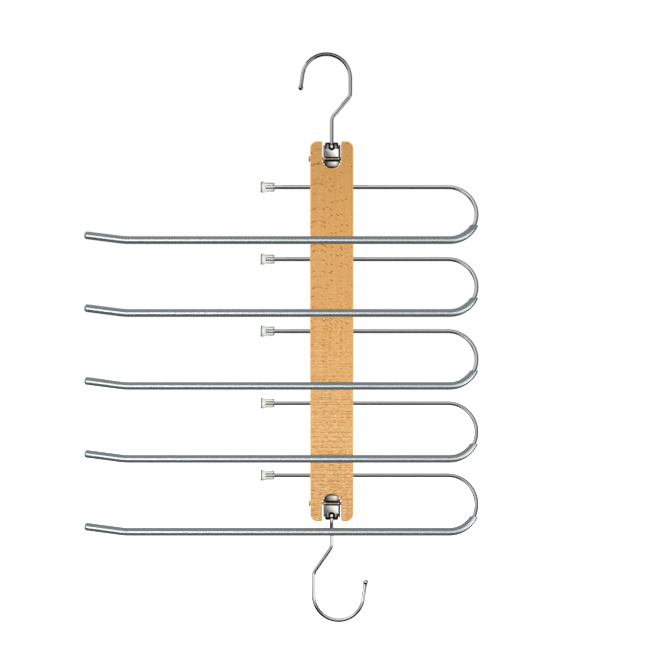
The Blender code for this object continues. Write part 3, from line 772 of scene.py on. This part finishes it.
def buildSpine():
    body = prism("spine_stock", spineOutline(), "Y", -spine["thickness"] / 2, spine["thickness"] / 2)
    body.data.transform(placeAt(spineCentreZ))
    roundEdges(body, spine["edgeRound"], spine["edgeSteps"], spine["edgeAngle"])
    half, chamfer, over = spine["width"] / 2, spine["boreChamfer"], spine["boreOver"]
    bores = [(z, spine["rodBore"] / 2) for z in armHeights]
    bores += [(fit[end + "PinZ"], spine["pinBore"] / 2) for end in ("top", "bottom")]
    tools = []
    for number, (z, radius) in enumerate(bores):  # each is a spindle that flares past both sides
        knots = [(half + over, 0), (half + over - hair, radius + over), (half, radius + chamfer),
                 (half - chamfer, radius)]
        knots += [(-x, r) for x, r in reversed(knots)]
        tool = skin(f"bore_{number}", [[((-x, 0, 0), r) for x, r in knots]], placeAt(z),
                    spine["boreSides"], beech)
        combine(body, tool, "DIFFERENCE")
        tools.append(tool)
    return finishedPiece(body, "beech_spine", tools, beech)


dress(buildSpine(), "spine", "wooden_spine")
print("hanger: spine built")


# hinge pins: a low head on the left, a shank across the slot and a chamfered end
pin = {
    "diameter": 3 * mm,
    "headDiameter": 5.6 * mm,
    "headHeight": 1.3 * mm,
    "headRound": 0.6 * mm,
    "endRecess": 0.2 * mm,
    "endChamfer": 0.4 * mm,
    "sides": 32,
}


def buildPin(name, z):
    half, shaft, head = spine["width"] / 2, pin["diameter"] / 2, pin["headDiameter"] / 2
    seat, end = -half - fit["seatGap"], half - pin["endRecess"]
    knots = roundedEnd((seat - pin["headHeight"], 0, 0), head, pin["headRound"])
    knots += [((x, 0, 0), radius) for x, radius in (
        (seat, head), (seat + hair, shaft), (end - pin["endChamfer"], shaft),
        (end - hair, shaft - pin["endChamfer"]), (end, 0))]
    return skin(name, [knots], placeAt(z), pin["sides"], pinSteel)


for end in ("top", "bottom"):
    piece = buildPin(f"hinge_pin_{end}", fit[end + "PinZ"])
    dress(piece, "spine", f"{end}_hinge_pin", "brackets")


# the pressed brackets, measured from the pin's axis
bracket = {
    "sheet": 1.2 * mm,
    "top": 16.6 * mm,
    "depth": 8.8 * mm,
    "strapWidth": 13.6 * mm,
    "strapCorner": 2.6 * mm,
    "flapEdge": 1.45 * mm,
    "tailEdge": 3.6 * mm,
    "tailReach": 10.4 * mm,
    "tailWidth": 15.4 * mm,
    "heelRound": 2.8 * mm,
    "earSpan": 17.2 * mm,
    "earTop": 13.8 * mm,
    "earCorner": 2.5 * mm,
    "earBend": 1.8 * mm,
    "earSetback": 0.4 * mm,
    "keyholeRise": 11 * mm,
    "keyhole": 6.6 * mm,
    "shankSlot": 4.4 * mm,
    "pinBore": 3.6 * mm,
    "edgeRound": 0.14 * mm,
    "edgeSteps": 2,
    "edgeAngle": radians(35),
    "over": 2 * mm,  # how far the cutting tools reach past it
}


def bandOutline():  # the sheet's side view, from the front flap over the arch and round under the pin
    half, sheet, heel = bracket["depth"] / 2, bracket["sheet"], bracket["heelRound"]
    inner, arch, heelZ = half - sheet, bracket["top"] - half, heel - bracket["tailReach"]
    turn = arc(half - heel, heelZ, heel, 0, -pi / 2, 12)
    innerTurn = arc(half - heel, heelZ, heel - sheet, -pi / 2, 0, 10)
    outside = [(-half, bracket["flapEdge"])] + arc(0, arch, half, pi, 0, 32) + turn + mirrored(turn)
    inside = mirrored(innerTurn) + innerTurn + arc(0, arch, inner, 0, pi, 32)
    return outside + [(-half, -bracket["tailEdge"]), (-inner, -bracket["tailEdge"])] + inside + [
        (-inner, bracket["flapEdge"])]


def blankOutline():  # its front view, a strap with round shoulders over a round tail
    strap, tail, corner = bracket["strapWidth"] / 2, bracket["tailWidth"] / 2, bracket["strapCorner"]
    shoulder = arc(strap - corner, bracket["top"] - corner, corner, 0, pi / 2, 12)
    tailRound = arc(0, tail - bracket["tailReach"], tail, -pi, 0, 40)
    return shoulder + mirrored(shoulder) + [(-strap, 0)] + tailRound + [(strap, 0)]


def channelOutline():  # the section across the web and the ears bent forward from it
    back, side, bend = bracket["depth"] / 2, bracket["earSpan"] / 2, bracket["earBend"]
    front, sheet = bracket["earSetback"] - back, bracket["sheet"]
    outer = [(side, front)] + arc(side - bend, back - bend, bend, 0, pi / 2, 10)
    inner = arc(side - bend, back - bend, bend - sheet, pi / 2, 0, 10) + [(side - sheet, front)]
    return outer + mirrored(outer) + mirrored(inner) + inner


def earOutline():
    back, corner = bracket["depth"] / 2, bracket["earCorner"]
    outline = arc(0, 0, back, -pi, 0, 36) + [(back, bracket["earTop"])]
    return outline + arc(corner - back, bracket["earTop"] - corner, corner, pi / 2, pi, 10)


def buildBracket():
    over = bracket["over"]
    reach, front = bracket["earSpan"] / 2 + over, -bracket["depth"] / 2 - over
    slot = bracket["shankSlot"] / 2
    sheet = prism("sheet", bandOutline(), "X", -bracket["tailWidth"], bracket["tailWidth"])
    blank = prism("blank", blankOutline(), "Y", front, -front)
    ears = prism("ears", channelOutline(), "Z", -bracket["depth"], bracket["earTop"] + over)
    earSide = prism("ear_side", earOutline(), "X", -reach, reach)
    ring = arc(0, bracket["keyholeRise"], bracket["keyhole"] / 2, 0, 2 * pi, 48)
    keyhole = prism("keyhole", ring[:-1], "Y", front, 0)
    slotOutline = [(slot, front)] + arc(0, 0, slot, 0, pi, 24) + [(-slot, front)]
    shankSlot = prism("shank_slot", slotOutline, "Z", bracket["keyholeRise"], bracket["top"] + over)
    bore = arc(0, 0, bracket["pinBore"] / 2, 0, 2 * pi, 32)
    pinBore = prism("pin_bore", bore[:-1], "X", -reach, reach)
    combine(sheet, blank, "INTERSECT")
    combine(ears, earSide, "INTERSECT")
    combine(sheet, ears, "UNION")
    for tool in (keyhole, shankSlot, pinBore):
        combine(sheet, tool, "DIFFERENCE")
    roundEdges(sheet, bracket["edgeRound"], bracket["edgeSteps"], bracket["edgeAngle"])
    tools = (blank, ears, earSide, keyhole, shankSlot, pinBore)
    return finishedPiece(sheet, "bracket_sheet", tools, pressedSteel)


sheetOnce = buildBracket()
for end, turn in (("top", 0), ("bottom", pi)):
    piece = newObject(f"bracket_sheet_{end}", sheetOnce.data.copy())
    piece.data.transform(placeAt(fit[end + "PinZ"], turn))
    dress(piece, f"{end}_bracket", f"{end}_bracket", "brackets")
bpy.data.objects.remove(sheetOnce, do_unlink=True)
print("hanger: brackets and pins built")


# the hooks, drawn from the ball head up
hookWire = {"diameter": 3.8 * mm, "headBall": 5.6 * mm, "tipBall": 5.2 * mm, "bendRadius": 9 * mm,
            "flare": radians(8), "sides": 40,
            "neck": ((0.2 * mm, 0.06 * mm), (0.7 * mm, 0)),  # how much thicker it is past the ball
            "neckStart": 0.15 * mm}
hooks = {
    "top": {"crown": 24.2 * mm, "offset": 5.4 * mm, "shank": 29 * mm, "crankRise": 22.1 * mm,
            "limb": 18 * mm, "tipRun": 13.1 * mm, "headZ": fit["topHeadZ"], "turn": 0},
    "bottom": {"crown": 25.1 * mm, "offset": 6.9 * mm, "shank": 31.3 * mm, "crankRise": 26.3 * mm,
               "limb": 22.7 * mm, "tipRun": 17.1 * mm,
               "headZ": fit["bottomPinZ"] - (fit["topHeadZ"] - fit["topPinZ"]), "turn": pi},
}


def ballOnWire(station, ball, wire):  # a ball, and the short neck where the wire leaves it
    knots = ballEnd(station, ball / 2, wire + hookWire["neckStart"])
    leave = hypot(knots[-1][0][0] - station[0], knots[-1][0][1] - station[1])
    return knots + [(shifted(station, leave + away), wire + more) for away, more in hookWire["neck"]]


def buildHook(name, hook):
    wire = hookWire["diameter"] / 2
    crankOut = hook["crown"] - hook["offset"]
    crankAngle = atan2(crankOut, hook["crankRise"])
    bendLength = hookWire["bendRadius"] * tan(crankAngle / 2)
    stations = bendWire(0, 0, pi / 2, [
        (hook["shank"] - bendLength, -crankAngle, hookWire["bendRadius"]),
        (hypot(crankOut, hook["crankRise"]) - 2 * bendLength, crankAngle, hookWire["bendRadius"]),
        (hook["limb"] - bendLength, pi - hookWire["flare"], hook["crown"]),
        (hook["tipRun"], 0, 0)])
    knots = ballOnWire(stations[0], hookWire["headBall"], wire) + evenly(stations, wire)
    knots += farEnd(ballOnWire, stations[-1], hookWire["tipBall"], wire)
    return skin(name, [knots], placeAt(hook["headZ"], hook["turn"]), hookWire["sides"], chrome)


for end, hook in hooks.items():
    piece = buildHook(f"hook_wire_{end}", hook)
    dress(piece, f"{end}_hook", f"{end}_hook", f"{end} hook")
print("hanger: hooks bent")


# the arms, measured from the spine's centre line
arm = {
    "rod": 4 * mm,
    "limbSpacing": 56 * mm,
    "upperReach": 66.7 * mm,
    "bendReach": 117.1 * mm,
    "kinkReach": 206.2 * mm,
    "kinkRun": 40.5 * mm,
    "kinkAngle": radians(7.5),
    "kinkRadius": 60 * mm,
    "sleeve": 7.8 * mm,
    "sleeveStart": radians(24),
    "tipWall": 3 * mm,
    "tipRound": 2.4 * mm,
    "lipRound": 0.5 * mm,
    "slant": 3.2 * mm,  # how much shorter the knife left the sleeve on the inside of the bend
    "slantReach": 9 * mm,
    "rodSides": 32,
    "sleeveSides": 40,
}
cap = {
    "length": 13.8 * mm,
    "flange": 11.3 * mm,
    "flangeLength": 4.8 * mm,
    "flangeRound": 1.4 * mm,
    "shoulder": 2.4 * mm,  # how gently the flange runs into the barrel
    "barrel": 9.6 * mm,
    "mouth": 8.5 * mm,
    "mouthEdge": ((0.4 * mm, 0.05 * mm), (0.1 * mm, -0.1 * mm), (hair, -0.4 * mm)),  # back, and outwards
    "endWall": 4.5 * mm,
    "shell": 1.2 * mm,  # it is hollow round the rod, which its mouth grips
    "chamberRound": 0.7 * mm,
    "grip": 1 * mm,
    "gripSlope": 0.6 * mm,
    "sides": 40,
}
armTilt = asin((spine["thickness"] / 2 + fit["seatGap"] + arm["sleeve"] / 2) / arm["limbSpacing"])


def sleevedMoves(tipRun):  # the rest of the bend, the lower limb and the raised tip
    kinkLength = arm["kinkRadius"] * tan(arm["kinkAngle"] / 2)
    return [(0, arm["sleeveStart"] - pi / 2, arm["limbSpacing"] / 2),
            (arm["bendReach"] + arm["kinkReach"] - kinkLength, -arm["kinkAngle"], arm["kinkRadius"]),
            (tipRun - kinkLength, 0, 0)]


def buildRod(name, place):
    radius = arm["rod"] / 2
    tipRun = arm["kinkRun"] - arm["tipWall"] - fit["seatGap"]
    upperRun, turn = arm["upperReach"] + arm["bendReach"], -pi / 2 - arm["sleeveStart"]
    firstMove = (upperRun, turn, arm["limbSpacing"] / 2)
    stations = bendWire(-arm["upperReach"], 0, 0, [firstMove] + sleevedMoves(tipRun))
    knots = flatEnd(stations[0], radius) + evenly(stations, radius)
    knots += farEnd(flatEnd, stations[-1], radius)
    return skin(name, [knots], place, arm["rodSides"], chrome)


def buildSleeve(name, place):
    radius, bend, start = arm["sleeve"] / 2, arm["limbSpacing"] / 2, arm["sleeveStart"]
    bore, lip = arm["rod"] / 2 + fit["seatGap"], arm["lipRound"]
    begin = (arm["bendReach"] + bend * cos(start), -bend - bend * sin(start), -pi / 2 - start)
    outer = bendWire(*begin, sleevedMoves(arm["kinkRun"]))
    inner = bendWire(*begin, sleevedMoves(arm["kinkRun"] - arm["tipWall"]))
    wall = [(begin, bore)] + roundedEnd(begin, radius, lip, 4)[1:] + evenly(outer, radius)
    wall += farEnd(roundedEnd, outer[-1], radius, arm["tipRound"], 10)
    hollow = [(begin, bore), (shifted(begin, hair), bore)] + evenly(inner, bore)
    hollow += [(shifted(inner[-1], -hair), bore), (inner[-1], 0)]
    sleeve = skin(name, [wall, hollow], place, arm["sleeveSides"], slate)
    # the knife's slant: the inside of the bend is pulled along the rod
    turned = place.to_3x3()
    mouthPlace = place @ Vector((begin[0], 0, begin[1]))
    along = turned @ Vector((cos(begin[2]), 0, sin(begin[2])))
    inward = turned @ Vector((-cos(start), 0, sin(start)))
    for vertex in sleeve.data.vertices:
        away = vertex.co - mouthPlace
        if away.length < 2 * arm["slantReach"] and away.dot(along) < arm["slantReach"]:
            fade = 1 - max(away.dot(along), 0) / arm["slantReach"]
            share = (away.dot(inward) + radius) / (2 * radius)
            vertex.co += along * arm["slant"] * max(share, 0) * fade
    return sleeve


def buildCap(name, place):
    bore, shell = arm["rod"] / 2 + fit["seatGap"], cap["shell"]
    end = shifted((-arm["upperReach"], 0, 0), -fit["seatGap"] - cap["endWall"])
    mouth = shifted(end, cap["length"])
    step, stations = (cap["flange"] - cap["barrel"]) / 2, 8
    shoulder = []
    for i in range(stations + 1):  # from the flange to the barrel along a cosine
        station = shifted(end, cap["flangeLength"] - cap["shoulder"] * (1 - i / stations))
        shoulder.append((station, cap["barrel"] / 2 + step * (1 + cos(pi * i / stations)) / 2))
    wall = roundedEnd(end, cap["flange"] / 2, cap["flangeRound"]) + shoulder
    wall += [(shifted(mouth, -back), cap["mouth"] / 2 + out) for back, out in cap["mouthEdge"]]
    wall.append((mouth, bore))
    neck = shifted(mouth, -cap["grip"])
    hollow = roundedEnd(shifted(end, shell), shoulder[0][1] - shell, cap["chamberRound"], 5)
    hollow += [(station, radius - shell) for station, radius in shoulder]
    hollow += [(shifted(neck, -cap["gripSlope"]), shoulder[-1][1] - shell), (neck, bore),
               (shifted(mouth, -hair), bore), (mouth, bore)]
    return skin(name, [wall, hollow], place, cap["sides"], clear)


for number, height in enumerate(armHeights, 1):
    body, place = f"arm_{number}", placeAt(height, -armTilt, "X")
    rod = buildRod(f"arm_wire_{number}", place)
    sleeve = buildSleeve(f"grip_sleeve_{number}", place)
    for piece in (rod, sleeve):
        piece.visible_diffuse = piece.visible_shadow = False  # so that they leave no grey haze on the wood
    dress(rod, body, body + "_rod", "rods")
    dress(sleeve, body, body + "_sleeve", "sleeves")
    dress(buildCap(f"clear_cap_{number}", place), body + "_slider", body + "_end_cap")
print("hanger: arms dressed")


# the studio: a white sweep, soft light from above and in front, dark below for the chrome's lower edge
studio = {
    "floorZ": -650 * mm,
    "floorReach": 6.0,
    "paperGrain": 400.0,  # to a metre
    "paperColour": (0.9, 0.9, 0.9, 1),
    "paperRoughness": 0.9,
    "paperGlow": 0.6,
    "paperBump": (0.05, 0.1 * mm),
    "cardColour": (0.01, 0.01, 0.01, 1),
    "cardZ": 26 * mm,
    "cardReach": 50 * mm,
    "skyBelow": 0.62,
    "skyAbove": 1.33,
    # what the metal mirrors, by direction: between the first two, from the third to the fourth
    "sides": (-0.9, 0.6, 0.58, 0.2),
    "ahead": (-0.97, -0.85, 2.7, 1.0),
    "under": (-0.2, 0.01, 0.005, 1.0),
    "over": (0.25, 0.7, 1.0, 1.45),
    "spotRise": radians(17),
    "spotRadius": radians(8),
    "spotLevel": 0.3,
    "through": (0.6, 0.85, 0.12, 1.0),  # what clear plastic shows
    "cameraPlace": (-3.85 * mm, -1059 * mm, -268.7 * mm),
    "imageHalf": 322.5 * mm,  # at the spine's front face, 1050 mm away
    "imageDistance": 1050 * mm,
}


def makeWorld():
    world = bpy.data.worlds.new("studio")
    scene.world = world
    world.use_nodes = True
    world.node_tree.nodes.clear()
    add = partial(addNode, world.node_tree)
    direction = add("TexCoord").outputs["Generated"]
    x, y, z = add("SeparateXYZ", [direction]).outputs
    # what the metal mirrors: a bright band at eye level, fullest in front and on the left and dim on the
    # right, over a dark floor, with a dark spot high in front
    rise, radius = studio["spotRise"], studio["spotRadius"]
    toSpot = add("VectorMath", [direction, (0, -cos(rise), sin(rise))], "DOT_PRODUCT")
    inSpot = (cos(radius), cos(radius / 2), 1.0, studio["spotLevel"])
    glints = None
    for place, levels in ((x, studio["sides"]), (y, studio["ahead"]), (z, studio["under"]),
                          (z, studio["over"]), (toSpot, inSpot)):
        level = add("MapRange", [place, *levels], "SMOOTHSTEP")
        glints = add("Math", [glints, level], "MULTIPLY") if glints else level
    lightPath = add("LightPath")
    soft = add("MapRange", [z, -1.0, 1.0, studio["skyBelow"], studio["skyAbove"]])
    # clear plastic shows the white straight behind it and, where it bends the light far, grey
    straight = add("Math", [y], "ABSOLUTE")
    through = add("MapRange", [straight, *studio["through"]])
    level = soft
    for ray, seen in (("Is Glossy Ray", glints), ("Is Transmission Ray", through), ("Is Camera Ray", 1.0)):
        level = add("Mix", [lightPath.outputs[ray], level, seen], "FLOAT")
    sky = add("Background", {"Color": (1, 1, 1, 1), "Strength": level})
    add("OutputWorld", [sky])


def flatSheet(name, reach, z, material):  # a level square of the stage
    mesh = bpy.data.meshes.new(name)
    mesh.from_pydata([(-reach, -reach, z), (reach, -reach, z), (reach, reach, z), (-reach, reach, z)],
                     [], [(0, 1, 2, 3)])
    mesh.materials.append(material)
    sheet = newObject(name, mesh)
    sheet.visible_diffuse = sheet.visible_shadow = sheet.visible_transmission = False
    return sheet


def makeFloor():
    material, add, shader = newMaterial("white paper sweep", {
        "Base Color": studio["paperColour"], "Roughness": studio["paperRoughness"],
        "Emission Color": (1, 1, 1, 1), "Emission Strength": studio["paperGlow"]})
    grain = add("TexNoise", {"Scale": studio["paperGrain"], "Detail": 2.0})
    strength, rise = studio["paperBump"]
    bump = add("Bump", {"Strength": strength, "Distance": rise, "Height": grain})
    plug(shader, {"Normal": bump})
    floor = flatSheet("floor", studio["floorReach"], studio["floorZ"], material)
    floor.visible_glossy = False


# a black card over the top hook, seen only in its chrome
def hangCard():
    material, *_ = newMaterial("black card", {"Base Color": studio["cardColour"], "Roughness": 1.0})
    card = flatSheet("card", studio["cardReach"], studio["cardZ"], material)
    card.visible_camera = False


def addLight(name, place, aim, size, brightness):
    lamp = bpy.data.lights.new(name, "AREA")
    lamp.shape = "RECTANGLE"
    lamp.size, lamp.size_y = size
    lamp.energy = brightness * pi * size[0] * size[1]
    thing = newObject(name, lamp)
    thing.location = place
    thing.rotation_euler = (Vector(aim) - Vector(place)).to_track_quat("-Z", "Y").to_euler()
    thing.visible_camera = False
    return thing


# what lights the whole: place, aim, size and brightness
overhead = ((-0.3, -0.9, 1.2), (-0.045, 0, -0.29), (1.6, 1.0), 1.8)
# what only some pieces mirror, by their collection: place, where across it aims, size and brightness
boxAimZ = -0.33
boxes = {
    "sleeves": {  # a strip in front of them that fades to the right, and a box low on the right
        "sleeve strip": ((-0.66, -1.25, -0.42), -0.66, (0.93, 0.95), 11.8),
        "sleeve strip middle": ((-0.07, -1.25, -0.42), -0.07, (0.25, 0.95), 8.4),
        "sleeve strip end": ((0.365, -1.25, -0.42), 0.365, (0.62, 0.95), 6.3),
        "sleeve box": ((1.05, -0.8, -0.76), 0.13, (1.15, 0.95), 9.2),
    },
    "brackets": {
        "bottom bracket box": ((0.0, -1.25, -0.72), 0.0, (0.9, 0.42), 0.95),
        "top bracket box": ((0.0, -1.25, 0.08), 0.0, (0.9, 0.3), 0.5),
    },
    "rods": {
        "rod box": ((0.03, -0.8, 0.75), 0.03, (1.1, 1.5), 0.45),
        "rod left box": ((-0.75, -1.2, -0.33), -0.05, (0.6, 0.8), 0.6),
        "rod low box": ((-0.75, -0.91, -1.04), 0.12, (1.0, 0.9), 0.9),
    },
    "top hook": {
        "top hook box": ((1.2, 0.0, -0.75), 0.0, (1.3, 1.1), 0.95),
    },
    "bottom hook": {
        "bottom hook left box": ((-1.5, -1.25, -0.89), -1.5, (2.34, 0.47), 2.0),
        "bottom hook right box": ((1.27, -1.25, -0.89), 1.27, (1.87, 0.47), 1.6),
        "bottom hook high box": ((0.0, -0.7, 0.55), 0.0, (2.4, 1.4), 0.7),
        "bottom hook side box": ((1.6, -0.3, -0.97), 0.0, (1.2, 0.6), 0.9),
    },
}
# a small one before each hook's ball head, which lights its middle and not the wire beside it
headBox = {"away": 10 * mm, "size": (0.02, 0.013), "brightness": 1.15}


def addBox(name, place, aim, size, brightness, group):
    box = addLight(name, place, aim, size, brightness)
    box.visible_diffuse = False
    box.light_linking.receiver_collection = bpy.data.collections[group]


makeWorld()
makeFloor()
hangCard()
addLight("overhead box", *overhead).visible_glossy = False
for group, rows in boxes.items():
    for name, (place, aimX, size, brightness) in rows.items():
        addBox(name, place, (aimX, 0, boxAimZ), size, brightness, group)
for end, hook in hooks.items():
    head = Vector((fit["spineX"], 0, hook["headZ"]))
    toCamera = (Vector(studio["cameraPlace"]) - head).normalized()
    addBox(f"{end} head box", head + headBox["away"] * toCamera, head, headBox["size"],
           headBox["brightness"], f"{end} hook")

camera = newObject("camera", bpy.data.cameras.new("camera"))
camera.location = studio["cameraPlace"]
camera.rotation_euler = (pi / 2, 0, 0)
camera.data.angle = 2 * atan2(studio["imageHalf"], studio["imageDistance"])
scene.camera = camera
scene.view_settings.view_transform = "Standard"
scene.view_settings.look = "None"
